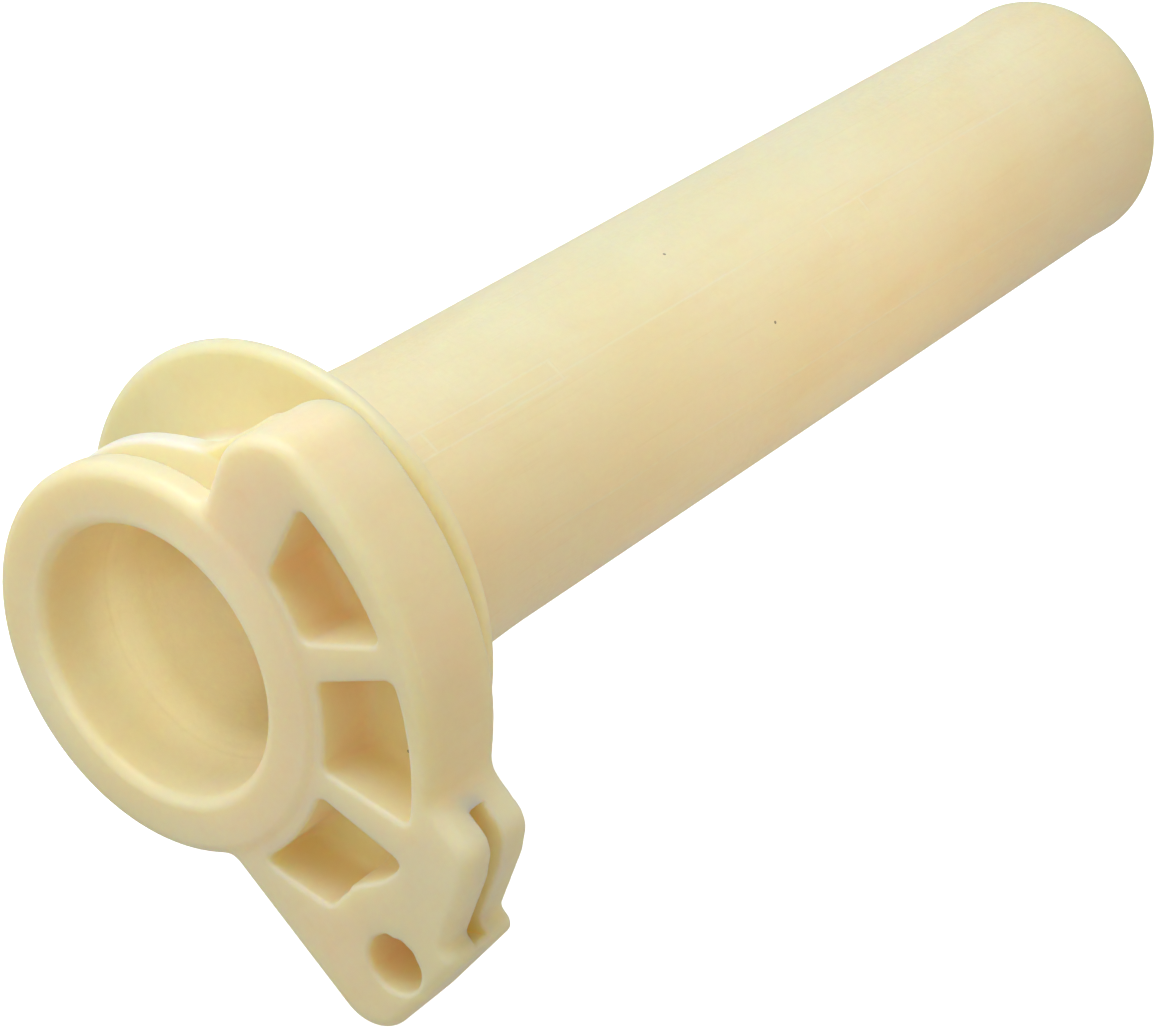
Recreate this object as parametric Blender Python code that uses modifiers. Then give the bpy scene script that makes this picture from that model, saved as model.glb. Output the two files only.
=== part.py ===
"""Throttle tube with an integral cable drum, for a 22.2 mm (7/8 in) handlebar.

The real thing is one nylon moulding. It is laid out here as the regions a toolmaker would name, each a
closed solid that keeps a hairline gap to its neighbours, and all of them turn together on the bar.

Frame: origin on the bore's axis at the drum's open face, +X along the tube towards the bar's end, +Z up.
The drum's outlines are drawn in its own plane as (across, up), seen from the open face, and the whole drum
is then turned about the bore by REST_TURN.
"""
from math import cos, radians, sin

import bmesh
import bpy
from mathutils import Matrix, Vector

MM = 0.001
GAP = 0.3                       # between neighbouring regions
CUT_MARGIN = 1.0                # how far a cutter runs past the face it opens
REST_TURN = radians(17.6)       # upper rib's tilt with the throttle closed

# stations along the bore, from the drum's open face
RING_END = 3.0                  # front ring's back face
GROOVE_END = 6.0                # rear ring's front face
DRUM_END = 8.0
RIM_BACK = 8.4                  # the cam's wall stands back past the drum, most at its nose
NOSE_BACK = 8.8
FLANGE_START = 16.0
FLANGE_END = 17.6
COLLAR_END = 26.2
SLEEVE_MIDDLE_START = 67.6
SLEEVE_OUTER_START = 109.0
RIM_START = 150.5               # raised rim at the tube's far end
TUBE_END = 153.5

# radii about the bore
BORE_R = 11.4
COUNTERBORE_R = 12.4
COUNTERBORE_DEPTH = 6.8
TUBE_ROOT_R = 14.1              # the sleeve opens out slightly towards its far end
TUBE_TIP_R = 14.4
TUBE_RIM_R = 14.6
COLLAR_R = 14.4
HUB_R = 14.5
RING_R = 17.5
FLANGE_R = 22.4
CAM_R = 29.3
CAM_WALL = 2.5

# lightening pockets and the cable lug, in the drum's own plane
POCKET_DEPTH = 6.3
RIB_HALF = 1.5
UPPER_RIB_UP = 0.7              # height of the upper rib's middle
LOWER_RIB_ANGLE = -33.0
NOSE_LEFT_ANGLE = 51.5          # where the nose leaves the ring
NIPPLE = (17.8, -26.3)
NIPPLE_R = 2.7
NIPPLE_DEPTH = 6.4
BOSS_R = 7.0
SLOT_START = 3.2                # cable slot between the lug's two plates
SLOT_END = 5.2
SLOT_FLOOR_R = 29.0
LUG_ANGLE = -41.1               # radial line between the cam's rim and the lug

TURN_STEPS = 64
ARC_STEP = 3.0                  # degrees between points on a drawn arc
EDGE_ROUND = 0.5
RIM_ROUND = 0.4
FLANGE_ROUND = 0.6
RING_ROUND = 0.5
FRONT_ROUND = 1.2               # front ring's outer edge
MOUTH_ROUND = 0.8               # lead-in at the bore's mouth

NYLON = (0.86, 0.76, 0.55)
NYLON_SHADE = (0.80, 0.69, 0.47)


def clear_scene():
    for item in list(bpy.data.objects):
        bpy.data.objects.remove(item, do_unlink=True)


def new_collection(name):
    group = bpy.data.collections.new(name)
    bpy.context.scene.collection.children.link(group)
    return group


def nylon(name, colour):
    """One material per region, all of the same natural nylon."""
    material = bpy.data.materials.new(name)
    material.use_nodes = True
    shader = material.node_tree.nodes["Principled BSDF"]
    shader.inputs["Base Color"].default_value = (*colour, 1.0)
    shader.inputs["Roughness"].default_value = 0.42
    shader.inputs["Metallic"].default_value = 0.0
    material.diffuse_color = (*colour, 1.0)
    return material


def polar(radius, degrees):
    return (radius * cos(radians(degrees)), radius * sin(radians(degrees)))


def arc(radius, start, end, centre=(0.0, 0.0)):
    """Points along an arc, ends included, a few degrees apart."""
    count = max(2, round(abs(end - start) / ARC_STEP) + 1)
    points = []
    for index in range(count):
        across, up = polar(radius, start + (end - start) * index / (count - 1))
        points.append((centre[0] + across, centre[1] + up))
    return points


def rounded(points, corners):
    """Replace the listed corners of an outline by arcs; corners maps a point's index to its radius."""
    result = []
    for index, point in enumerate(points):
        radius = corners.get(index)
        if radius is None:
            result.append(point)
            continue
        here = Vector(point)
        before = (Vector(points[index - 1]) - here).normalized()
        after = (Vector(points[(index + 1) % len(points)]) - here).normalized()
        half = before.angle(after) / 2.0
        reach = radius / (sin(half) / cos(half))
        centre = here + (before + after).normalized() * (radius / sin(half))
        first = here + before * reach - centre
        last = here + after * reach - centre
        sweep = first.angle_signed(last)
        count = max(2, round(abs(sweep) / radians(15.0)) + 1)
        for step in range(count):
            turn = Matrix.Rotation(-sweep * step / (count - 1), 2)
            result.append(tuple(centre + turn @ first))
    return result


# The drum's plane (across, up, towards the open face) laid into the part's frame.
DRUM_PLANE = Matrix(((0, 0, -1), (-1, 0, 0), (0, 1, 0)))


def make_flat(name, outline, start, end, group):
    """A flat region: an outline in the drum's plane, as thick as the run between two stations."""
    curve = bpy.data.curves.new(name, "CURVE")
    curve.dimensions = "2D"
    curve.fill_mode = "BOTH"
    curve.extrude = (end - start) / 2.0 * MM
    spline = curve.splines.new("POLY")
    spline.points.add(len(outline) - 1)
    for point, (across, up) in zip(spline.points, outline):
        point.co = (across * MM, up * MM, 0.0, 1.0)
    spline.use_cyclic_u = True
    drawn = bpy.data.objects.new(name + "_outline", curve)
    group.objects.link(drawn)
    bpy.context.view_layer.update()
    mesh = bpy.data.meshes.new_from_object(drawn.evaluated_get(bpy.context.evaluated_depsgraph_get()))
    bpy.data.objects.remove(drawn, do_unlink=True)
    mesh.name = name
    body = bmesh.new()
    body.from_mesh(mesh)
    bmesh.ops.remove_doubles(body, verts=body.verts, dist=1e-6)
    bmesh.ops.dissolve_limit(body, angle_limit=radians(0.5), verts=body.verts, edges=body.edges)
    bmesh.ops.recalc_face_normals(body, faces=body.faces)
    body.to_mesh(mesh)
    body.free()
    item = bpy.data.objects.new(name, mesh)
    group.objects.link(item)
    item.location = ((start + end) / 2.0 * MM, 0.0, 0.0)
    item.rotation_euler = DRUM_PLANE.to_euler()
    return item


def make_turned(name, profile, group):
    """A ring about the bore from a closed (radius, station) profile.

    The profile runs down its outer side, from the far station to the near one, and back up the inside.
    """
    mesh = bpy.data.meshes.new(name)
    points = [(radius * MM, 0.0, station * MM) for radius, station in profile]
    loop = [(index, (index + 1) % len(points)) for index in range(len(points))]
    mesh.from_pydata(points, loop, [])
    item = bpy.data.objects.new(name, mesh)
    group.objects.link(item)
    screw = item.modifiers.new("turn", "SCREW")
    screw.axis = "Z"
    screw.steps = TURN_STEPS
    screw.render_steps = TURN_STEPS
    screw.use_merge_vertices = True
    screw.merge_threshold = 0.00001
    screw.use_smooth_shade = True
    item.rotation_euler = (0.0, radians(90.0), 0.0)
    return item


def sleeve_radius(station):
    """Outer radius of the tapered sleeve at a station."""
    share = (station - FLANGE_END) / (RIM_START - FLANGE_END)
    return TUBE_ROOT_R + share * (TUBE_TIP_R - TUBE_ROOT_R)


def sleeve_profile(start, end):
    """A length of the tapered sleeve between two stations."""
    return [(sleeve_radius(end), end), (sleeve_radius(start), start), (BORE_R, start), (BORE_R, end)]


def ring_profile(inner, outer, start, end, start_round=0.0, end_round=0.0):
    """A square ring section with its two outer corners rounded."""
    points = []
    if end_round:
        points += arc_corner((outer - end_round, end - end_round), end_round, 90.0, 0.0)
    else:
        points.append((outer, end))
    if start_round:
        points += arc_corner((outer - start_round, start + start_round), start_round, 0.0, -90.0)
    else:
        points.append((outer, start))
    return points + [(inner, start), (inner, end)]


def arc_corner(centre, radius, first, last, count=4):
    points = []
    for index in range(count):
        across, up = polar(radius, first + (last - first) * index / (count - 1))
        points.append((centre[0] + across, centre[1] + up))
    return points


def soften(item, width=EDGE_ROUND):
    bevel = item.modifiers.new("soft edges", "BEVEL")
    bevel.width = width * MM
    bevel.segments = 2
    bevel.limit_method = "ANGLE"
    bevel.angle_limit = radians(40.0)
    return item


def cut(item, cutter):
    cutter.hide_render = True
    cutter.display_type = "WIRE"
    boolean = item.modifiers.new("cut " + cutter.name, "BOOLEAN")
    boolean.operation = "DIFFERENCE"
    boolean.object = cutter
    return item


def finish(item, material, parent):
    item.data.materials.append(material)
    item.parent = parent
    return item


def build_tube(group):
    """The sleeve that the rubber grip slides on, the neck that the housing's lip runs in, and the flange."""
    end_profile = ring_profile(BORE_R, TUBE_RIM_R, RIM_START, TUBE_END, RIM_ROUND, RIM_ROUND)
    neck = ring_profile(BORE_R, TUBE_ROOT_R, DRUM_END + GAP, FLANGE_START - GAP)
    return [
        make_turned("tube_neck", neck, group),
        make_turned("rear_flange", ring_profile(BORE_R, FLANGE_R, FLANGE_START, FLANGE_END, FLANGE_ROUND, FLANGE_ROUND),
                    group),
        make_turned("root_collar", ring_profile(BORE_R, COLLAR_R, FLANGE_END + GAP, COLLAR_END, end_round=0.3),
                    group),
        make_turned("sleeve_inner", sleeve_profile(COLLAR_END + GAP, SLEEVE_MIDDLE_START), group),
        make_turned("sleeve_middle", sleeve_profile(SLEEVE_MIDDLE_START + GAP, SLEEVE_OUTER_START), group),
        make_turned("sleeve_outer", sleeve_profile(SLEEVE_OUTER_START + GAP, RIM_START - GAP), group),
        make_turned("tube_end_rim", end_profile, group),
    ]


def build_drum_rings(group):
    """The two rings either side of the drum's groove, and the hub at the groove's floor."""
    edge = RING_R - RING_ROUND
    front = arc_corner((edge, RING_END - RING_ROUND), RING_ROUND, 90.0, 0.0)
    front += arc_corner((RING_R - FRONT_ROUND, FRONT_ROUND), FRONT_ROUND, 0.0, -90.0)
    front += arc_corner((COUNTERBORE_R + MOUTH_ROUND, MOUTH_ROUND), MOUTH_ROUND, -90.0, -180.0)
    front += [(COUNTERBORE_R, RING_END)]
    rear = arc_corner((edge, DRUM_END - RING_ROUND), RING_ROUND, 90.0, 0.0)
    rear += arc_corner((edge, GROOVE_END + RING_ROUND), RING_ROUND, 0.0, -90.0)
    rear += [(COUNTERBORE_R, GROOVE_END), (COUNTERBORE_R, COUNTERBORE_DEPTH)]
    rear += [(BORE_R, COUNTERBORE_DEPTH), (BORE_R, DRUM_END)]
    hub = ring_profile(COUNTERBORE_R, HUB_R, RING_END + GAP, GROOVE_END - GAP)
    return [
        make_turned("front_ring", front, group),
        make_turned("drum_hub", hub, group),
        make_turned("rear_ring", rear, group),
    ]


def build_cam(group):
    """The cam side of the drum: rim, nose, ribs and the web that closes the pockets behind."""
    inside = RING_R + GAP
    wall = CAM_R - CAM_WALL
    rim = arc(CAM_R, -40.0, 37.0) + arc(wall, 37.0, -40.0)

    nose_foot = (16.0, 7.6)
    nose = [nose_foot] + arc(inside, 27.0, NOSE_LEFT_ANGLE)
    corner = len(nose)
    nose += [(15.5, 18.9), (20.2, 19.7)]
    nose += arc(CAM_R, 40.5, 37.8) + arc(wall - GAP, 37.8, 32.0)
    nose = rounded(nose, {corner: 1.6, corner + 1: 2.0})

    gusset = arc(inside, NOSE_LEFT_ANGLE + 1.5, 74.0) + [(7.8, 17.0), (10.4, 17.5), (14.6, 18.6)]

    web = arc(inside, 23.5, -71.0)
    web += [(9.3, -22.4)]
    web += arc(BOSS_R + 0.4, 150.0, 110.0, NIPPLE)
    web += [(19.4, -17.9)]
    web += arc(wall - GAP, -40.0, 29.5)

    upper = [
        (inside + 0.1, UPPER_RIB_UP - RIB_HALF),
        (wall - GAP - 0.1, UPPER_RIB_UP - RIB_HALF),
        (wall - GAP - 0.1, UPPER_RIB_UP + RIB_HALF),
        (inside + 0.1, UPPER_RIB_UP + RIB_HALF),
    ]
    lower = []
    for along, side in ((inside + 0.1, -1), (wall - GAP - 0.1, -1), (wall - GAP - 0.1, 1), (inside + 0.1, 1)):
        angle = radians(LOWER_RIB_ANGLE)
        across = along * cos(angle) - side * RIB_HALF * sin(angle)
        up = along * sin(angle) + side * RIB_HALF * cos(angle)
        lower.append((across, up))

    rib_end = POCKET_DEPTH - GAP / 2.0
    return [
        soften(make_flat("cam_rim", rim, 0.0, RIM_BACK, group)),
        soften(make_flat("cam_nose", nose, 0.0, NOSE_BACK, group)),
        make_flat("nose_gusset", gusset, GROOVE_END, DRUM_END, group),
        make_flat("pocket_web", web, POCKET_DEPTH + GAP / 2.0, DRUM_END, group),
        make_flat("upper_rib", upper, 0.0, rib_end, group),
        make_flat("lower_rib", lower, 0.0, rib_end, group),
    ]


def lug_outline(slotted):
    """The lug's outline, either whole or with the cable slot's run taken out of its outer side."""
    boss_arc = arc(BOSS_R, 112.0, 156.0, NIPPLE)
    outline = [(8.2, -25.3), (11.2, -30.1), (13.6, -34.0)]
    corners = {2: 4.0}
    if slotted:
        outline += [(24.3, -26.3), (24.3, -25.4), (19.4, -25.4), (19.4, -22.0)]
        outline += arc(SLOT_FLOOR_R, -46.0, LUG_ANGLE)
    else:
        outline += [(24.9, -25.9), (23.7, -24.2), (27.7, -18.8), (29.3, -15.9)]
        corners.update({3: 1.2, 6: 2.6})
        outline += arc(CAM_R + GAP, -23.5, LUG_ANGLE)
    outline += [(20.6, -18.1)]
    outline += boss_arc
    return rounded(outline, corners)


def build_lug(group, cutters):
    """The cable lug: two plates with the cable slot between them, and the blind hole for the nipple."""
    hole = make_flat("nipple_hole", arc(NIPPLE_R, 0.0, 345.0, NIPPLE), -CUT_MARGIN, NIPPLE_DEPTH, cutters)
    front = make_flat("lug_front_plate", lug_outline(False), 0.0, SLOT_START - GAP / 2.0, group)
    core = make_flat("lug_core", lug_outline(True), SLOT_START + GAP / 2.0, SLOT_END - GAP / 2.0, group)
    rear = make_flat("lug_rear_plate", lug_outline(False), SLOT_END + GAP / 2.0, DRUM_END, group)
    for plate in (front, core, rear):
        cut(plate, hole)
    side = [(5.55, -16.95), (3.45, -17.75), (7.95, -24.95), (9.8, -23.8)]
    wall = make_flat("lug_side_wall", side, 0.0, DRUM_END, group)
    return [front, core, rear, wall], [hole]


def main():
    clear_scene()
    parts = new_collection("throttle_tube")
    cutters = new_collection("cutters")
    bore_axis = bpy.data.objects.new("bore_axis", None)
    bore_axis.rotation_euler = (-REST_TURN, 0.0, 0.0)
    parts.objects.link(bore_axis)

    lug, holes = build_lug(parts, cutters)
    for index, item in enumerate(build_tube(parts) + build_drum_rings(parts) + build_cam(parts) + lug):
        finish(item, nylon(item.name + "_nylon", NYLON_SHADE if index % 2 else NYLON), bore_axis)
    for item in holes:
        item.parent = bore_axis

    for item in parts.objects:
        if item.type == "MESH":
            item.data.shade_smooth()
            item.data.set_sharp_from_angle(angle=radians(30.0))


main()
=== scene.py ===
"""Looks of a moulded nylon throttle tube, in metres, in the CAD's own frame.

One closed skin stands for all of the CAD's regions. The cable drum is drawn as a distance field, so that
its pockets, plates and fillets run into each other as they do in one moulding. The neck, flange and sleeve
are turned, and the two meet in the neck. The drum's outlines are drawn in its own plane as (across, up),
seen from its open face. Lengths in the shape functions are millimetres; MM turns them into metres when the
mesh is made.
"""

from math import cos, pi, radians, sin

import bpy
import numpy as np
from mathutils import Matrix, Vector


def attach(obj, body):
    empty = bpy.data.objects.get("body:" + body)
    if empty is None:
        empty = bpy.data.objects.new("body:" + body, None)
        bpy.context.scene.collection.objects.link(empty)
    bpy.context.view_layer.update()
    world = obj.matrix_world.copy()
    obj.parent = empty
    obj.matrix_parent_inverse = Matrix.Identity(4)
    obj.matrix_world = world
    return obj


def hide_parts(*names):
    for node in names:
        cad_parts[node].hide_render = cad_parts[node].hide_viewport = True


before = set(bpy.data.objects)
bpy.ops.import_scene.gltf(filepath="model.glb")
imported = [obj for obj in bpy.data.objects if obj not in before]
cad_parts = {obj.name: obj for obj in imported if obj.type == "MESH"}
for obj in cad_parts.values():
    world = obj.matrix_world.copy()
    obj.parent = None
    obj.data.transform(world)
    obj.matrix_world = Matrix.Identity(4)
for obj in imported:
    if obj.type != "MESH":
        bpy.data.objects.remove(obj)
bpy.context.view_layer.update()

MM = 0.001
REST_TURN = radians(17.6)       # the drum's plane is turned this far about the bore

# stations along the bore
RING_END = 3.0
GROOVE_END = 6.0
DRUM_END = 8.0
NECK_SPLIT = 12.0               # the drum's distance field ends here and the turned sleeve takes over
SEAM = 0.3                      # run of the triangles that join the two
FLANGE_START = 16.0
FLANGE_END = 17.6
COLLAR_END = 24.0
COLLAR_FADE = 14.0
FLARE_RUN = 4.5                 # the sleeve opens out over this last length
FLARE_LEVEL = 0.5               # and is level again just before its rim
TUBE_END = 153.5

# radii about the bore
BORE_R = 11.4
COUNTERBORE_R = 12.4
COUNTERBORE_END = 4.6           # from here the counterbore closes smoothly to the bore
BORE_START = 10.8
NECK_R = 14.1
TUBE_RIM_R = 14.75
TAPER = 0.5                     # the sleeve's gain in radius towards its far end
COLLAR_RISE = 0.45              # the tube stands this much prouder just behind the flange
HUB_R = 14.5
RING_R = 17.65
FLANGE_R = 22.4
CAM_R = 29.3

# the drum's cam, pockets and lug
CAM_BACK = 0.25                 # the cam's face lies this far behind the front ring's
CAM_DEEPER = 0.9                # the cam's wall reaches this much further back at its nose than at the lug
CAM_DEEPER_UP = -16.0           # height where that starts
CAM_DEEPER_RUN = 14.0
CAM_DEEPER_R = 19.0
CAM_CORNER = 2.6
NOSE_CORNER = 1.1
LUG_WALL = 3.0                  # the cam's lower end lies inside the lug's left side by this much
POCKET_DEPTH = 6.3
POCKET_INNER_R = 18.4
POCKET_OUTER_R = 27.0
POCKET_OUTER_CENTRE = (-0.2, -1.2)
POCKET_CORNER = 0.9
UPPER_RIB_TOP = 2.4
LOWER_POCKET_INNER_R = 18.6
LOWER_POCKET_OUTER_R = 27.6
LOWER_POCKET_WALL = 3.3
LOWER_POCKET_CORNER = 1.4
NIPPLE = (17.8, -26.3)
NIPPLE_R = 2.7
NIPPLE_DEPTH = 6.4
BOSS_R = 7.0
BOSS_LEFT = 15.5                # the boss goes on square to the right of here
SLOT_START = 3.4
SLOT_END = 5.1
SLOT_FLOOR_R = 29.25
SLOT_BOTTOM = 25.4              # the cable slot's lower and left ends, in the drum's plane
SLOT_LEFT = 19.4
SLOT_TOP_TURN = radians(22.0)   # its upper end is cut along a line turned this far, this far below the bore
SLOT_TOP = 1.9

# roundings of outer edges, and fillets where two shapes join
RING_FRONT_EDGE = 1.2
RING_BACK_EDGE = 0.35
CAM_FRONT_EDGE = 1.15
PLATE_BACK_EDGE = 0.6
SLIGHT_EDGE = 0.3
REAR_RING_EDGE = 0.5
RING_FILLET = 1.4
LUG_FILLET = 1.0
RING_SEAT_FILLET = 0.3
NECK_FILLET = 0.9
POCKET_FLOOR_EDGE = 1.3
POCKET_EDGE = 0.4
SLOT_EDGE = 0.35
NIPPLE_FLOOR_EDGE = 0.6
NIPPLE_EDGE = 0.4
NIPPLE_RAGGED = 0.07            # flash on the nipple hole's mouth, and how deep it goes
NIPPLE_RAGGED_DEPTH = 0.9
MOUTH_EDGE = 1.0
BEAD_R = 0.66                   # bead round the bore's mouth
BEAD_CENTRE_R = 13.4
BEAD_FILLET = 0.2
FLANGE_FRONT_EDGE = 1.05
FLANGE_BACK_EDGE = 0.45
COLLAR_FILLET = 1.2
RIM_EDGE = 0.3
RIM_LIP = 0.4

CELL = 0.31                     # spacing of the grid the drum is drawn on
GRID_ACROSS = (-18.3, 30.6)
GRID_UP = (-33.3, 21.3)
TURNS = 180                     # steps about the bore on the turned part
REACH = 0.02                    # step for the slope of a distance
SETTLE_ROUNDS = 3

NYLON_PALE = (0.955, 0.81, 0.515, 1.0)
NYLON_WARM = (0.945, 0.775, 0.455, 1.0)
NYLON_HONEY = (0.88, 0.68, 0.33, 1.0)
# painted shade: the yellower tint down in the pockets
NYLON_POCKET_SHADE = (0.93, 0.80, 0.385, 1.0)
# paler tint for the sleeve's marks, and painted highlight on the collar's crescent and round the neck
NYLON_PALE_MARK_AND_HIGHLIGHT = (1.0, 0.93, 0.72, 1.0)
NYLON_SPECK = (0.16, 0.09, 0.04, 1.0)
SCATTER_LENGTH = 0.0065
SCATTER_COLOUR = (1.0, 0.62, 0.22)

# marks on the sleeve: angles about the bore in degrees, stations in mm
MOULD_LINES = (53.2, 4.1)
MOULD_LINE_RUN = (34.0, 131.0)
FRAME_ENDS = (27.0, 45.5)
FRAME_SIDES = (50.6, 60.0)
FRAME_SIDE_RUN = (20.0, 46.0)
TICKS = ((89.0, 44.0, 51.0), (96.5, 46.0, 53.0))    # station, first and last angle
MARK_WIDTH = 0.9                # of marks that run along the sleeve, in degrees
FRAME_END_WIDTH = 0.35
TICK_WIDTH = 0.3

# the scene, in metres
FLOOR_HALF = 3.0
FLOOR_GAP = 0.0001              # the floor lies this far below the lowest point
FLOOR_COLOUR = (0.92, 0.92, 0.91, 1.0)
FLOOR_GLOW = 0.8
WORLD_COLOUR = (1.0, 0.99, 1.03, 1.0)
WORLD_STRENGTH = 0.44
CAMERA_PLACE = (-0.15038, -0.15307, 0.12836)
CAMERA_RIGHT = (0.58794, -0.8089, 0.0)
CAMERA_FORWARD = (0.7116, 0.51747, -0.47523)
CAMERA_LENS = 93.35             # lens and sensor width in mm
CAMERA_SENSOR = 36.0
WHITE = (1.0, 1.0, 1.0)


# ---------------------------------------------------------------- shapes in the plane

def rounded(points, corners):
    """Replace the listed corners of an outline by arcs; corners maps a point's index to its radius."""
    result = []
    for index, point in enumerate(points):
        radius = corners.get(index)
        if radius is None:
            result.append(point)
            continue
        here = Vector(point)
        before = (Vector(points[index - 1]) - here).normalized()
        after = (Vector(points[(index + 1) % len(points)]) - here).normalized()
        half = before.angle(after) / 2.0
        reach = radius * cos(half) / sin(half)
        centre = here + (before + after).normalized() * (radius / sin(half))
        first = here + before * reach - centre
        last = here + after * reach - centre
        sweep = first.angle_signed(last)
        count = max(2, round(abs(sweep) / radians(3.0)) + 1)
        for step in range(count):
            turn = Matrix.Rotation(-sweep * step / (count - 1), 2)
            result.append(tuple(centre + turn @ first))
    return result


def outline_distance(points, u, v):
    """Signed distance to a closed outline, negative inside."""
    u, v = np.broadcast_arrays(u, v)
    nearest = np.full(u.shape, np.inf)
    inside = np.zeros(u.shape, dtype=bool)
    for (au, av), (bu, bv) in zip(points, points[1:] + points[:1]):
        eu, ev = bu - au, bv - av
        wu, wv = u - au, v - av
        along = np.clip((wu * eu + wv * ev) / (eu * eu + ev * ev), 0.0, 1.0)
        nearest = np.minimum(nearest, (wu - along * eu) ** 2 + (wv - along * ev) ** 2)
        if ev:
            inside ^= ((av <= v) != (bv <= v)) & (wu < wv * eu / ev)
    return np.where(inside, -1.0, 1.0) * np.sqrt(nearest)


def line_distance(first, second, u, v):
    """Distance from the line through two points, positive on its left."""
    du, dv = second[0] - first[0], second[1] - first[1]
    return (du * (v - first[1]) - dv * (u - first[0])) / np.hypot(du, dv)


# ---------------------------------------------------------------- joining distances

def both(a, b, edge):
    """Intersection, its edge rounded to a radius."""
    flat = np.minimum(np.maximum(a, b), -edge)
    return flat + np.hypot(np.maximum(a + edge, 0.0), np.maximum(b + edge, 0.0))


def either(a, b, fillet):
    """Union, its inner corner filled to a radius."""
    blend = np.maximum(fillet - np.abs(a - b), 0.0)
    return np.minimum(a, b) - blend * blend / (4.0 * fillet)


def without(a, b, edge):
    """The first less the second, its edge rounded to a radius."""
    return both(a, -b, edge)


def smooth(share):
    """Smooth step from 0 to 1, level beyond both ends."""
    share = np.clip(share, 0.0, 1.0)
    return share * share * (3.0 - 2.0 * share)


def slab(plan, x, start, end, near_edge, far_edge):
    """A plan as thick as the run from start to end, its two rims rounded each to its own radius."""
    return both(both(plan, start - x, near_edge), x - end, far_edge)


# ---------------------------------------------------------------- the cable drum

# straight sides in the drum's plane, each through two points and with the shape it bounds on its right
NOSE_LEFT = ((11.0, 13.6), (15.6, 19.0))
NOSE_TOP = ((15.4, 19.1), (20.2, 20.0))
LUG_LEFT = ((10.17, -30.58), (2.37, -18.08))        # the lug's straight left side, upwards
UPPER_POCKET_TOP = ((16.3, 7.9), (22.2, 13.9))
UPPER_RIB_BOTTOM = ((18.9, -1.0), (26.4, -0.6))
LOWER_RIB_TOP = ((24.0, -13.4), (16.2, -8.9))
LOWER_RIB_BOTTOM = ((15.4, -11.6), (21.8, -16.6))
LOWER_POCKET_END = ((12.3, -21.4), (6.3, -18.0))
BOSS_TOP = ((15.5, -19.6), (21.3, -17.8))
LUG_OUTLINE = rounded(
    [(-1.86, -11.28), (12.70, -34.63), (24.9, -25.9), (23.9, -24.3),
     (28.0, -18.9), (29.6, -15.8), (26.4, -10.6), (12.0, -4.0)],
    {1: 4.0, 2: 1.2, 3: 0.7, 4: 2.0, 5: 2.6},
)
GUSSET_OUTLINE = [
    (2.0, 12.0), (2.6, 16.7), (7.6, 16.7), (9.8, 17.2),
    (12.4, 18.0), (15.1, 19.0), (18.5, 18.0), (14.0, 10.0),
]


def drum_plan(u, v, r):
    """Cam and lug together, without the round part of the drum."""
    cam = both(line_distance(*NOSE_LEFT, u, v), line_distance(*NOSE_TOP, u, v), NOSE_CORNER)
    cam = both(cam, r - CAM_R, CAM_CORNER)
    cam = np.maximum(cam, line_distance(*LUG_LEFT, u, v) + LUG_WALL)
    return either(cam, outline_distance(LUG_OUTLINE, u, v), LUG_FILLET)


def pocket_plan(u, v, r):
    """The three pockets between ring and rim."""
    outer = np.hypot(u - POCKET_OUTER_CENTRE[0], v - POCKET_OUTER_CENTRE[1]) - POCKET_OUTER_R
    web = both(outer, POCKET_INNER_R - r, POCKET_CORNER)

    first = both(web, line_distance(*UPPER_POCKET_TOP, u, v), POCKET_CORNER)
    first = both(first, UPPER_RIB_TOP - v, POCKET_CORNER)

    second = both(web, line_distance(*UPPER_RIB_BOTTOM, u, v), POCKET_CORNER)
    second = both(second, line_distance(*LOWER_RIB_TOP, u, v), POCKET_CORNER)

    third = both(r - LOWER_POCKET_OUTER_R, LOWER_POCKET_INNER_R - r, POCKET_CORNER)
    third = both(third, line_distance(*LOWER_RIB_BOTTOM, u, v), POCKET_CORNER)
    third = both(third, line_distance(*LUG_LEFT, u, v) + LOWER_POCKET_WALL, POCKET_CORNER)
    third = both(third, line_distance(*LOWER_POCKET_END, u, v), LOWER_POCKET_CORNER)
    boss = np.hypot(u - NIPPLE[0], v - NIPPLE[1]) - BOSS_R
    step = np.maximum(line_distance(*BOSS_TOP, u, v), BOSS_LEFT - u)
    third = without(third, either(boss, step, LUG_FILLET), POCKET_CORNER)
    return np.minimum(np.minimum(first, second), third)


def cable_slot(x, u, v, r):
    """The slot between the lug's two plates."""
    middle = (SLOT_START + SLOT_END) / 2.0
    slot = np.maximum(np.abs(x - middle) - (SLOT_END - SLOT_START) / 2.0, SLOT_FLOOR_R - r)
    slot = np.maximum(np.maximum(slot, -SLOT_BOTTOM - v), SLOT_LEFT - u)
    return np.maximum(slot, v * cos(SLOT_TOP_TURN) + u * sin(SLOT_TOP_TURN) + SLOT_TOP)


def nipple_hole(x, u, v):
    """The blind hole for the cable's nipple, its mouth a little ragged along the upper side."""
    turn = np.arctan2(v - NIPPLE[1], u - NIPPLE[0])
    ragged = (np.sin(6.0 * turn + 0.6) + 0.8 * np.sin(11.0 * turn)) * np.clip(np.sin(turn + 0.4), 0.0, 1.0)
    radius = NIPPLE_R - NIPPLE_RAGGED * ragged * np.exp(-((x - CAM_BACK) / NIPPLE_RAGGED_DEPTH) ** 2)
    return both(np.hypot(u - NIPPLE[0], v - NIPPLE[1]) - radius, x - NIPPLE_DEPTH, NIPPLE_FLOOR_EDGE)


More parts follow.
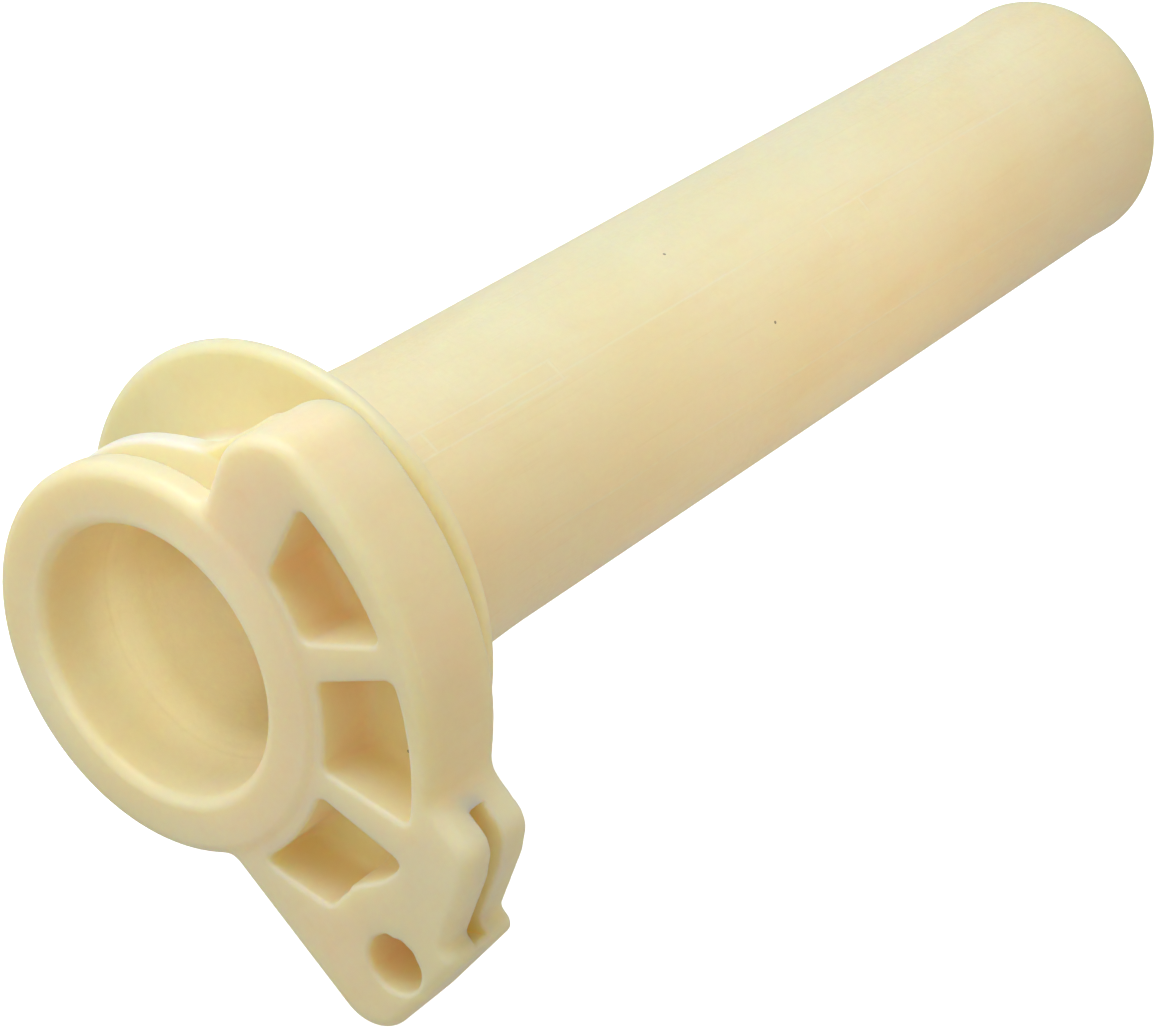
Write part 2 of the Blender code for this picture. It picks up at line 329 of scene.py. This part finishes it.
def drum_body(x, u, v, r):
    """The drum before anything is cut out of it."""
    plan = drum_plan(u, v, r)
    front_plan = either(r - RING_R, plan, RING_FILLET)
    whole_plan = either(r - HUB_R, plan, RING_FILLET)
    rear_plan = either(front_plan, outline_distance(GUSSET_OUTLINE, u, v), LUG_FILLET)

    ring = slab(r - RING_R, x, 0.0, RING_END, RING_FRONT_EDGE, RING_BACK_EDGE)
    front = slab(front_plan, x, CAM_BACK, RING_END, CAM_FRONT_EDGE, PLATE_BACK_EDGE)
    whole = slab(whole_plan, x, CAM_BACK, DRUM_END, CAM_FRONT_EDGE, SLIGHT_EDGE)
    cam_end = DRUM_END + CAM_DEEPER * smooth((v - CAM_DEEPER_UP) / CAM_DEEPER_RUN)
    deeper_plan = np.maximum(plan, CAM_DEEPER_R - r)
    whole = np.minimum(whole, slab(deeper_plan, x, GROOVE_END, cam_end, SLIGHT_EDGE, SLIGHT_EDGE))
    rear = slab(rear_plan, x, GROOVE_END, DRUM_END, REAR_RING_EDGE, REAR_RING_EDGE)
    body = np.minimum(np.minimum(front, whole), rear)
    body = either(body, ring, RING_SEAT_FILLET)
    return either(body, np.maximum(r - NECK_R, DRUM_END - 1.0 - x), NECK_FILLET)


def cable_drum(x, u, v):
    """Signed distance to the whole drum and the start of the neck."""
    r = np.hypot(u, v)
    body = drum_body(x, u, v, r)
    body = without(body, both(pocket_plan(u, v, r), x - POCKET_DEPTH, POCKET_FLOOR_EDGE), POCKET_EDGE)
    body = without(body, cable_slot(x, u, v, r), SLOT_EDGE)
    body = without(body, nipple_hole(x, u, v), NIPPLE_EDGE)
    share = np.clip((x - COUNTERBORE_END) / (BORE_START - COUNTERBORE_END), 0.0, 1.0)
    bore = BORE_R + (COUNTERBORE_R - BORE_R) * (0.5 + 0.5 * np.cos(pi * share))
    bead = np.hypot(x - BEAD_R, r - BEAD_CENTRE_R) - BEAD_R
    return either(without(body, r - bore, MOUTH_EDGE), bead, BEAD_FILLET)


def surface_net(values, axes):
    """Quads over the zero surface of a grid of distances: one vertex in each cell that the surface crosses.

    Where the surface runs out of the grid it is left open.
    """
    inside = values < 0.0
    shape = tuple(length - 1 for length in values.shape)
    total = np.zeros(shape + (3,))
    count = np.zeros(shape)
    quads = []
    number = np.full(shape, -1, dtype=np.int64)
    crossings = []
    for axis in range(3):
        near = [slice(None)] * 3
        far = [slice(None)] * 3
        near[axis] = slice(0, -1)
        far[axis] = slice(1, None)
        cells = np.argwhere(inside[tuple(near)] != inside[tuple(far)])
        others = [k for k in range(3) if k != axis]
        for k in others:
            cells = cells[(cells[:, k] > 0) & (cells[:, k] < shape[k])]
        start = tuple(cells.T)
        end = cells.copy()
        end[:, axis] += 1
        low = values[start]
        share = low / (low - values[tuple(end.T)])
        place = np.stack([axes[k][cells[:, k]] for k in range(3)], axis=1)
        place[:, axis] += share * (axes[axis][end[:, axis]] - axes[axis][cells[:, axis]])
        around = []
        for first, second in ((1, 1), (0, 1), (0, 0), (1, 0)):
            cell = cells.copy()
            cell[:, others[0]] -= first
            cell[:, others[1]] -= second
            np.add.at(total, tuple(cell.T), place)
            np.add.at(count, tuple(cell.T), 1.0)
            around.append(cell)
        crossings.append((around, inside[start], axis))
    used = np.argwhere(count > 0)
    number[tuple(used.T)] = np.arange(len(used))
    points = total[tuple(used.T)] / count[tuple(used.T)][:, None]
    for around, outward, axis in crossings:
        corners = np.stack([number[tuple(cell.T)] for cell in around], axis=1)
        flip = ~outward if axis == 1 else outward
        corners[flip] = corners[flip][:, ::-1]
        quads.append(corners)
    return points, np.concatenate(quads)


def slope(shape, points):
    """Gradient of a distance at points."""
    result = np.empty_like(points)
    for k in range(3):
        ahead = points.copy()
        behind = points.copy()
        ahead[:, k] += REACH
        behind[:, k] -= REACH
        result[:, k] = (shape(*ahead.T) - shape(*behind.T)) / (2.0 * REACH)
    return result


def settle(shape, points):
    """Move points onto the zero surface of a distance, by no more than a quarter of a cell each round."""
    for _ in range(SETTLE_ROUNDS):
        grade = slope(shape, points)
        size = np.maximum((grade ** 2).sum(axis=1), 0.25)
        step = -(shape(*points.T) / size)[:, None] * grade
        length = np.linalg.norm(step, axis=1, keepdims=True)
        points = points + step * np.minimum(1.0, 0.25 * CELL / np.maximum(length, 1e-9))
    return points


def to_world(points):
    """From (station, across, up) in the drum's plane, in mm, to metres in the part's frame."""
    x, u, v = np.asarray(points, dtype=float).T
    across = u * cos(REST_TURN) - v * sin(REST_TURN)
    up = u * sin(REST_TURN) + v * cos(REST_TURN)
    return np.stack([x, -across, up], axis=1) * MM


def add_mesh(name, points, faces, normals):
    """A smooth object of points in metres, with its own normals."""
    mesh = bpy.data.meshes.new(name)
    mesh.from_pydata(points.tolist(), [], faces)
    mesh.update()
    item = bpy.data.objects.new(name, mesh)
    bpy.context.scene.collection.objects.link(item)
    mesh.shade_smooth()
    mesh.normals_split_custom_set_from_vertices(normals.tolist())
    return item


def drum_surface():
    """Points, normals and quads of the drum, open at its neck."""
    axes = [
        np.arange(-2.0 * CELL + 0.01, NECK_SPLIT, CELL),
        np.arange(*GRID_ACROSS, CELL),
        np.arange(*GRID_UP, CELL),
    ]
    x, u, v = np.meshgrid(*axes, indexing="ij", sparse=True)
    points, quads = surface_net(cable_drum(x, u, v), axes)
    points = settle(cable_drum, points)
    normals = slope(cable_drum, points)
    return points, normals, quads


# ---------------------------------------------------------------- the sleeve

def corner_arc(centre, radius, start, end, count=7, hollow=False):
    """Arc in the sleeve's section: (station, radius, normal along, normal out) for each of its points."""
    side = -1.0 if hollow else 1.0
    points = []
    for degrees in np.linspace(start, end, count):
        along, out = cos(radians(degrees)), sin(radians(degrees))
        points.append((centre[0] + radius * along, centre[1] + radius * out, side * along, side * out))
    return points


def sleeve_section():
    """The sleeve's section from the neck round the outside, over the far rim and back along the bore."""
    start = NECK_SPLIT + SEAM
    neck = (FLANGE_START - NECK_FILLET, NECK_R + NECK_FILLET)
    flange_front = (FLANGE_START + FLANGE_FRONT_EDGE, FLANGE_R - FLANGE_FRONT_EDGE)
    flange_back = (FLANGE_END - FLANGE_BACK_EDGE, FLANGE_R - FLANGE_BACK_EDGE)
    collar = (FLANGE_END + COLLAR_FILLET, NECK_R + COLLAR_RISE + COLLAR_FILLET)
    rim = (TUBE_END - RIM_EDGE, TUBE_RIM_R - RIM_EDGE)
    lip = (TUBE_END - RIM_LIP, BORE_R + RIM_LIP)
    stations = np.concatenate([
        np.linspace(20.0, COLLAR_END + COLLAR_FADE, 19),
        np.linspace(42.0, TUBE_END - 5.0, 24),
        np.linspace(TUBE_END - FLARE_RUN, TUBE_END - RIM_EDGE - 0.2, 12),
    ])

    points = [(start, NECK_R, 0.0, 1.0)]
    points += corner_arc(neck, NECK_FILLET, -90.0, 0.0, hollow=True)
    points += corner_arc(flange_front, FLANGE_FRONT_EDGE, 180.0, 90.0)
    points += corner_arc(flange_back, FLANGE_BACK_EDGE, 90.0, 0.0)
    points += corner_arc(collar, COLLAR_FILLET, 180.0, 270.0, hollow=True)
    points += [(x, sleeve_radius(x), 0.0, 1.0) for x in stations]
    points += corner_arc(rim, RIM_EDGE, 90.0, 0.0)
    points += corner_arc(lip, RIM_LIP, 0.0, -90.0, 5)
    points += [(x, BORE_R, 0.0, -1.0) for x in np.linspace(TUBE_END - 4.0, start, 24)]
    return points


def sleeve_radius(x):
    """A slow taper, with a low collar behind the flange and a slightly flared far rim."""
    taper = NECK_R + TAPER * (x - FLANGE_END) / (TUBE_END - FLANGE_END)
    collar = COLLAR_RISE * (1.0 - smooth((x - COLLAR_END) / COLLAR_FADE))
    flare = (TUBE_RIM_R - NECK_R - TAPER) * smooth((x - TUBE_END + FLARE_RUN) / (FLARE_RUN - FLARE_LEVEL))
    return taper + collar + flare


def sleeve_surface():
    """Points, normals and quads of the turned sleeve, open at its neck between its first and last rings."""
    section = np.array(sleeve_section())
    angles = np.arange(TURNS) * 2.0 * pi / TURNS
    across = np.cos(angles)[None, :]
    up = np.sin(angles)[None, :]
    flat = np.ones((1, TURNS))
    points = np.stack([section[:, :1] * flat, section[:, 1:2] * across, section[:, 1:2] * up], axis=2)
    normals = np.stack([section[:, 2:3] * flat, section[:, 3:4] * across, section[:, 3:4] * up], axis=2)
    rows = np.arange(len(section) - 1)[:, None] * TURNS
    here = np.arange(TURNS)[None, :]
    ahead = (here + 1) % TURNS
    quads = np.stack([rows + here, rows + TURNS + here, rows + TURNS + ahead, rows + ahead], axis=2)
    return points.reshape(-1, 3), normals.reshape(-1, 3), quads.reshape(-1, 4)


def open_rings(points, quads):
    """The open edge's points, as one ring outside the wall and one in the bore, each in order of angle."""
    edges = np.concatenate([quads[:, [k, (k + 1) % 4]] for k in range(4)])
    edges.sort(axis=1)
    pairs, uses = np.unique(edges, axis=0, return_counts=True)
    loose = np.unique(pairs[uses == 1])
    angle = np.arctan2(points[loose, 2], points[loose, 1])
    loose = loose[np.argsort(angle)]
    radius = np.hypot(points[loose, 1], points[loose, 2])
    middle = (NECK_R + BORE_R) / 2.0
    return loose[radius > middle], loose[radius < middle]


def zip_rings(points, first, second):
    """Triangles between two rings that run round the bore, each given in order of angle."""
    first_angle = np.arctan2(points[first, 2], points[first, 1])
    second_angle = np.arctan2(points[second, 2], points[second, 1])
    triangles = []
    i = 0
    j = 0
    while i < len(first) or j < len(second):
        next_first = first_angle[(i + 1) % len(first)] + (2.0 * pi if i + 1 >= len(first) else 0.0)
        next_second = second_angle[(j + 1) % len(second)] + (2.0 * pi if j + 1 >= len(second) else 0.0)
        a = first[i % len(first)]
        b = second[j % len(second)]
        if j >= len(second) or (i < len(first) and next_first <= next_second):
            triangles.append((a, first[(i + 1) % len(first)], b))
            i += 1
        else:
            triangles.append((a, second[(j + 1) % len(second)], b))
            j += 1
    return triangles


def build_moulding():
    """The whole moulding as one closed skin: the drum's net and the turned sleeve, joined at the neck."""
    drum_points, drum_normals, drum_quads = drum_surface()
    tube_points, tube_normals, tube_quads = sleeve_surface()
    outside, bore = open_rings(drum_points, drum_quads)
    base = len(drum_points)
    points = np.concatenate([drum_points, tube_points])
    normals = np.concatenate([drum_normals, tube_normals])
    normals /= np.maximum(np.linalg.norm(normals, axis=1, keepdims=True), 1e-9)
    by_angle = np.concatenate([np.arange(TURNS // 2 + 1, TURNS), np.arange(TURNS // 2 + 1)])
    near_ring = base + by_angle
    far_ring = base + len(tube_points) - TURNS + by_angle
    seam = [(c, b, a) for a, b, c in zip_rings(points, outside, near_ring)]
    seam += zip_rings(points, bore, far_ring)
    faces = drum_quads.tolist() + (tube_quads + base).tolist() + seam
    return add_mesh("moulding", to_world(points), faces, to_world(normals) / MM)


# ---------------------------------------------------------------- material

class Graph:
    """Adds shader nodes and joins them; each method gives the new node's output."""

    def __init__(self, material):
        self.nodes = material.node_tree.nodes
        self.links = material.node_tree.links

    def join(self, value, socket):
        """Feed a socket from an output or with a plain value."""
        if hasattr(value, "is_output"):
            self.links.new(value, socket)
        else:
            socket.default_value = value

    def math(self, operation, *values):
        node = self.nodes.new("ShaderNodeMath")
        node.operation = operation
        for value, socket in zip(values, node.inputs):
            self.join(value, socket)
        return node.outputs[0]

    def stretch(self, vector, scale, shift=(0.0, 0.0, 0.0)):
        node = self.nodes.new("ShaderNodeMapping")
        self.join(vector, node.inputs["Vector"])
        node.inputs["Scale"].default_value = scale
        node.inputs["Location"].default_value = shift
        return node.outputs[0]

    def noise(self, vector, scale, detail, roughness):
        node = self.nodes.new("ShaderNodeTexNoise")
        self.join(vector, node.inputs["Vector"])
        node.inputs["Scale"].default_value = scale
        node.inputs["Detail"].default_value = detail
        node.inputs["Roughness"].default_value = roughness
        return node.outputs["Fac"]

    def between(self, value, low, high, start=0.0, end=1.0):
        """Smooth step of a value from low to high, as start to end."""
        node = self.nodes.new("ShaderNodeMapRange")
        node.interpolation_type = "SMOOTHSTEP"
        self.join(value, node.inputs["Value"])
        node.inputs["From Min"].default_value = low
        node.inputs["From Max"].default_value = high
        node.inputs["To Min"].default_value = start
        node.inputs["To Max"].default_value = end
        return node.outputs[0]

    def tint(self, share, first, second):
        node = self.nodes.new("ShaderNodeMix")
        node.data_type = "RGBA"
        self.join(share, node.inputs["Factor"])
        self.join(first, node.inputs[6])
        self.join(second, node.inputs[7])
        return node.outputs[2]

    def bump(self, height, strength, distance, below=None):
        node = self.nodes.new("ShaderNodeBump")
        node.inputs["Strength"].default_value = strength
        node.inputs["Distance"].default_value = distance
        self.join(height, node.inputs["Height"])
        if below is not None:
            self.join(below, node.inputs["Normal"])
        return node.outputs[0]

    def band(self, value, middle, width):
        """One on a thin band of a value and zero away from it."""
        return self.between(self.math("ABSOLUTE", self.math("SUBTRACT", value, middle)), 0.0, width, 1.0, 0.0)

    def bands(self, value, middles, width):
        """The same round either of two middles."""
        return self.math("MAXIMUM", self.band(value, middles[0], width), self.band(value, middles[1], width))

    def window(self, value, low, high, soft):
        """One between low and high, with soft ends."""
        return self.math("MULTIPLY", self.between(value, low - soft, low + soft),
                         self.between(value, high - soft, high + soft, 1.0, 0.0))


def sleeve_marks(g, station, round_angle):
    """Two parting lines, the frame of an inlay and two ticks."""
    lines = g.bands(round_angle, MOULD_LINES, MARK_WIDTH)
    lines = g.math("MULTIPLY", lines, g.window(station, *MOULD_LINE_RUN, 2.0))
    ends = g.bands(station, FRAME_ENDS, FRAME_END_WIDTH)
    ends = g.math("MULTIPLY", ends, g.window(round_angle, *FRAME_SIDES, 0.5))
    sides = g.bands(round_angle, FRAME_SIDES, MARK_WIDTH)
    sides = g.math("MULTIPLY", sides, g.window(station, *FRAME_SIDE_RUN, 0.5))
    marks = g.math("MAXIMUM", g.math("MAXIMUM", ends, sides), lines)
    for middle, first, last in TICKS:
        tick = g.band(station, middle, TICK_WIDTH)
        tick = g.math("MULTIPLY", tick, g.window(round_angle, first, last, 0.6))
        marks = g.math("MAXIMUM", marks, tick)
    return marks


def specked(g, place, colour):
    """A colour with a few dark specks of different sizes strewn over it."""
    specks = g.nodes.new("ShaderNodeTexVoronoi")
    g.join(place, specks.inputs["Vector"])
    specks.inputs["Scale"].default_value = 0.16
    chosen = g.nodes.new("ShaderNodeSeparateColor")
    g.join(specks.outputs["Color"], chosen.inputs[0])
    size = g.between(chosen.outputs[0], 0.60, 1.0, 0.0, 0.026)
    speck = g.math("LESS_THAN", specks.outputs["Distance"], size)
    return g.tint(g.math("MULTIPLY", speck, 0.75), colour, NYLON_SPECK)


def nylon():
    """Unpigmented nylon: translucent cream, satin skin, faint parting lines, drag marks and specks; painted
    highlight on the collar and round the neck, painted shade in the pockets.
    """
    material = bpy.data.materials.new("natural_nylon")
    material.use_nodes = True
    g = Graph(material)
    shader = g.nodes["Principled BSDF"]

    # where a point lies, in mm and degrees about the bore
    place = g.nodes.new("ShaderNodeTexCoord").outputs["Object"]
    place = g.stretch(place, (1.0 / MM, 1.0 / MM, 1.0 / MM))
    parts = g.nodes.new("ShaderNodeSeparateXYZ")
    g.join(place, parts.inputs[0])
    station, across, up = parts.outputs
    round_angle = g.math("MULTIPLY", g.math("ARCTAN2", up, g.math("MULTIPLY", across, -1.0)), 180.0 / pi)
    reach = g.math("SQRT", g.math("ADD", g.math("MULTIPLY", across, across), g.math("MULTIPLY", up, up)))
    on_sleeve = g.math("MULTIPLY", g.between(station, FLANGE_END + 1.0, FLANGE_END + 3.0),
                       g.between(reach, 12.8, 13.4))

    # uneven tone
    clouds = g.noise(place, 0.055, 3.0, 0.55)
    patches = g.noise(g.stretch(place, (0.25, 1.0, 1.0), (7.0, 3.0, 5.0)), 0.22, 4.0, 0.6)
    grain = g.noise(place, 1.6, 3.0, 0.6)
    drag = g.noise(g.stretch(place, (0.018, 1.0, 1.0)), 2.6, 3.0, 0.7)
    colour = g.tint(g.between(clouds, 0.30, 0.70), NYLON_PALE, NYLON_WARM)
    colour = g.tint(g.between(patches, 0.48, 0.78, 0.0, 0.35), colour, NYLON_HONEY)
    colour = g.tint(g.between(grain, 0.35, 0.75, 0.0, 0.10), colour, NYLON_HONEY)
    worn = g.math("MULTIPLY", g.between(drag, 0.56, 0.74, 0.0, 0.30), on_sleeve)
    colour = g.tint(worn, colour, NYLON_HONEY)

    # paler on the marks; painted highlight on the collar's crescent just behind the flange and round the neck
    marks = sleeve_marks(g, station, round_angle)
    marks = g.math("MULTIPLY", marks, g.between(patches, 0.35, 0.62, 0.45, 1.0))
    marks = g.math("MULTIPLY", marks, on_sleeve)
    crescent_highlight = g.math("MULTIPLY", g.window(station, 15.0, 21.6, 1.6), g.window(round_angle, 52.0, 84.0, 5.0))
    crescent_highlight = g.math("MULTIPLY", crescent_highlight, g.between(reach, 15.8, 14.8))
    neck = g.math("MULTIPLY", g.window(station, 3.4, 15.4, 0.5), g.window(reach, 13.4, 18.0, 0.25))
    pale_marks_and_highlight = g.math("MAXIMUM", g.math("MULTIPLY", marks, 0.30), g.math("MULTIPLY", crescent_highlight, 0.55))
    pale_marks_and_highlight = g.math("MAXIMUM", pale_marks_and_highlight, g.math("MULTIPLY", neck, 0.75))
    colour = g.tint(pale_marks_and_highlight, colour, NYLON_PALE_MARK_AND_HIGHLIGHT)

    # painted shade: yellower down in the pockets, for the warm light bounced round them
    pockets = g.math("MULTIPLY", g.window(station, 3.0, 6.8, 1.0), g.window(reach, 19.2, 27.0, 0.5))
    colour = g.tint(g.math("MULTIPLY", pockets, 0.5), colour, NYLON_POCKET_SHADE)
    g.join(specked(g, place, colour), shader.inputs["Base Color"])

    # skin
    scuffs = g.noise(g.stretch(place, (0.12, 1.0, 1.0), (3.0, 9.0, 1.0)), 0.8, 5.0, 0.75)
    rough = g.between(scuffs, 0.30, 0.75, 0.34, 0.52)
    rough = g.math("ADD", rough, g.between(grain, 0.3, 0.7, -0.03, 0.04))
    g.join(rough, shader.inputs["Roughness"])
    shader.inputs["IOR"].default_value = 1.53
    shader.inputs["Specular IOR Level"].default_value = 0.45
    shader.inputs["Subsurface Weight"].default_value = 1.0
    shader.inputs["Subsurface Radius"].default_value = SCATTER_COLOUR
    shader.inputs["Subsurface Scale"].default_value = SCATTER_LENGTH

    # relief, in mm
    peel = g.noise(place, 0.9, 2.0, 0.45)
    height = g.math("MULTIPLY", marks, 0.045)
    height = g.math("ADD", height, g.math("MULTIPLY", g.math("MULTIPLY", drag, on_sleeve), 0.07))
    normal = g.bump(g.math("ADD", height, g.math("MULTIPLY", peel, 0.05)), 0.9, MM)
    normal = g.bump(g.math("MULTIPLY", grain, 0.02), 0.6, MM, normal)
    g.join(normal, shader.inputs["Normal"])
    return material


# ---------------------------------------------------------------- the scene

def build_stage(moulding):
    """A pale floor with a faint glow just under the object; it neither lights the object nor shows in it."""
    floor_z = min(vertex.co.z for vertex in moulding.data.vertices) - FLOOR_GAP
    corners = [(FLOOR_HALF * a, FLOOR_HALF * b, floor_z) for a, b in ((-1, -1), (1, -1), (1, 1), (-1, 1))]
    mesh = bpy.data.meshes.new("floor")
    mesh.from_pydata(corners, [], [(0, 1, 2, 3)])
    floor = bpy.data.objects.new("floor", mesh)
    bpy.context.scene.collection.objects.link(floor)
    material = bpy.data.materials.new("pale_floor")
    material.use_nodes = True
    shader = material.node_tree.nodes["Principled BSDF"]
    shader.inputs["Base Color"].default_value = FLOOR_COLOUR
    shader.inputs["Roughness"].default_value = 0.9
    shader.inputs["Emission Color"].default_value = (*WHITE, 1.0)
    shader.inputs["Emission Strength"].default_value = FLOOR_GLOW
    mesh.materials.append(material)
    floor.visible_diffuse = False
    floor.visible_glossy = False


def aim_light(light, place, target, power, colour):
    """Put a light at a place, turned towards a target."""
    light.energy = power
    light.color = colour
    item = bpy.data.objects.new(light.name, light)
    bpy.context.scene.collection.objects.link(item)
    item.location = place
    item.rotation_euler = (Vector(target) - Vector(place)).to_track_quat("-Z", "Y").to_euler()


def add_light(name, place, target, size, power, colour=WHITE):
    light = bpy.data.lights.new(name, "AREA")
    light.shape = "DISK"
    light.size = size
    aim_light(light, place, target, power, colour)


def add_spot(name, place, target, angle, blend, size, power, colour=WHITE):
    light = bpy.data.lights.new(name, "SPOT")
    light.spot_size = radians(angle)
    light.spot_blend = blend
    light.shadow_soft_size = size
    aim_light(light, place, target, power, colour)


def build_lights():
    add_light("key", (-0.05, 0.10, 0.60), (0.05, 0.0, 0.0), 0.5, 2.45, (1.0, 1.0, 1.13))
    add_light("left fill", (-0.45, 0.40, 0.30), (0.0, 0.0, 0.0), 0.4, 0.70)
    add_light("camera fill", (-0.45, -0.05, 0.12), (0.03, 0.0, 0.0), 0.4, 0.19, (1.0, 0.72, 0.56))
    add_spot("bore light", (-0.24, -0.16, 0.16), (0.006, 0.004, -0.003), 3.8, 0.7, 0.004, 2.3)
    add_spot("under light", (0.20, -0.38, 0.0), (0.080, 0.0, 0.0), 22.0, 0.6, 0.05, 3.3, (1.0, 0.64, 0.40))


def build_camera():
    right = Vector(CAMERA_RIGHT)
    forward = Vector(CAMERA_FORWARD)
    up = right.cross(forward).normalized()
    right = forward.cross(up).normalized()
    turn = Matrix((right, up, -forward)).transposed().to_4x4()
    camera = bpy.data.cameras.new("camera")
    camera.sensor_width = CAMERA_SENSOR
    camera.lens = CAMERA_LENS
    camera.clip_start = 0.01
    item = bpy.data.objects.new("camera", camera)
    bpy.context.scene.collection.objects.link(item)
    item.matrix_world = Matrix.Translation(CAMERA_PLACE) @ turn
    bpy.context.scene.camera = item


def build_world():
    world = bpy.data.worlds.new("soft white")
    bpy.context.scene.world = world
    world.use_nodes = True
    background = world.node_tree.nodes["Background"]
    background.inputs["Color"].default_value = WORLD_COLOUR
    background.inputs["Strength"].default_value = WORLD_STRENGTH
    bpy.context.scene.view_settings.view_transform = "Standard"


def main():
    moulding = build_moulding()
    moulding.data.materials.append(nylon())
    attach(moulding, "root")
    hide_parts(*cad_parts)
    build_stage(moulding)
    build_world()
    build_lights()
    build_camera()


main()
